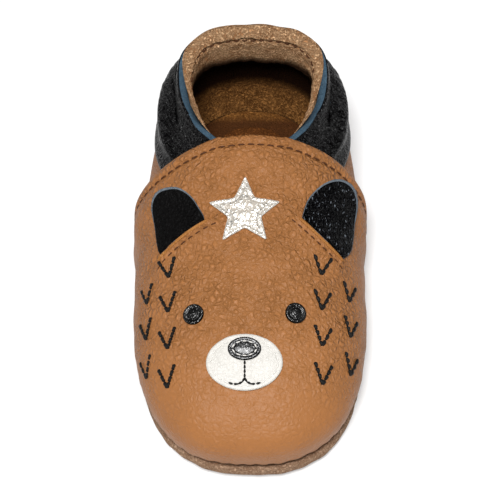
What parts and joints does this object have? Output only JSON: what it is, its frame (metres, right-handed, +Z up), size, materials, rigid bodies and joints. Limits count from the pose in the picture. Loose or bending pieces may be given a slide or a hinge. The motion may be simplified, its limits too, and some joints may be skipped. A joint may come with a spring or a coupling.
{
  "type": "soft sole baby shoe",
  "caption": "Slip-on soft leather baby shoe for the right foot, with a padded ankle band, a suede sole and an animal face sewn on the vamp.",
  "frame": {"origin": "on the flat underside of the sole, midway along the last and on its centre line", "axes": "+Z up, -Y towards the toe, +X towards the inner side of the foot"},
  "size_m": [0.0708, 0.1358, 0.0515],
  "materials": {
    "sole_suede": "matt suede, beige tan",
    "insole_suede": "matt suede, tan",
    "tan_leather": "satin pebbled leather, warm tan",
    "black_gathered_leather": "satin pebbled leather gathered along its edge, black",
    "lining_suede": "matt suede, tan",
    "black_leather": "semi-gloss grained leather, black",
    "white_leather": "satin pebbled leather, off-white",
    "silver_foil": "cracked silver foil on leather"
  },
  "bodies": {
    "root": {"sole": "sole_suede", "insole": "insole_suede", "upper": "tan_leather", "vamp": "tan_leather", "ankle_band": "black_gathered_leather", "band_lining": "lining_suede", "ear_outer": "black_leather", "ear_inner": "black_leather", "eye_outer": "black_leather", "eye_inner": "black_leather", "muzzle_patch": "white_leather", "nose_patch": "black_leather", "star_patch": "silver_foil"}
  },
  "joints": []
}
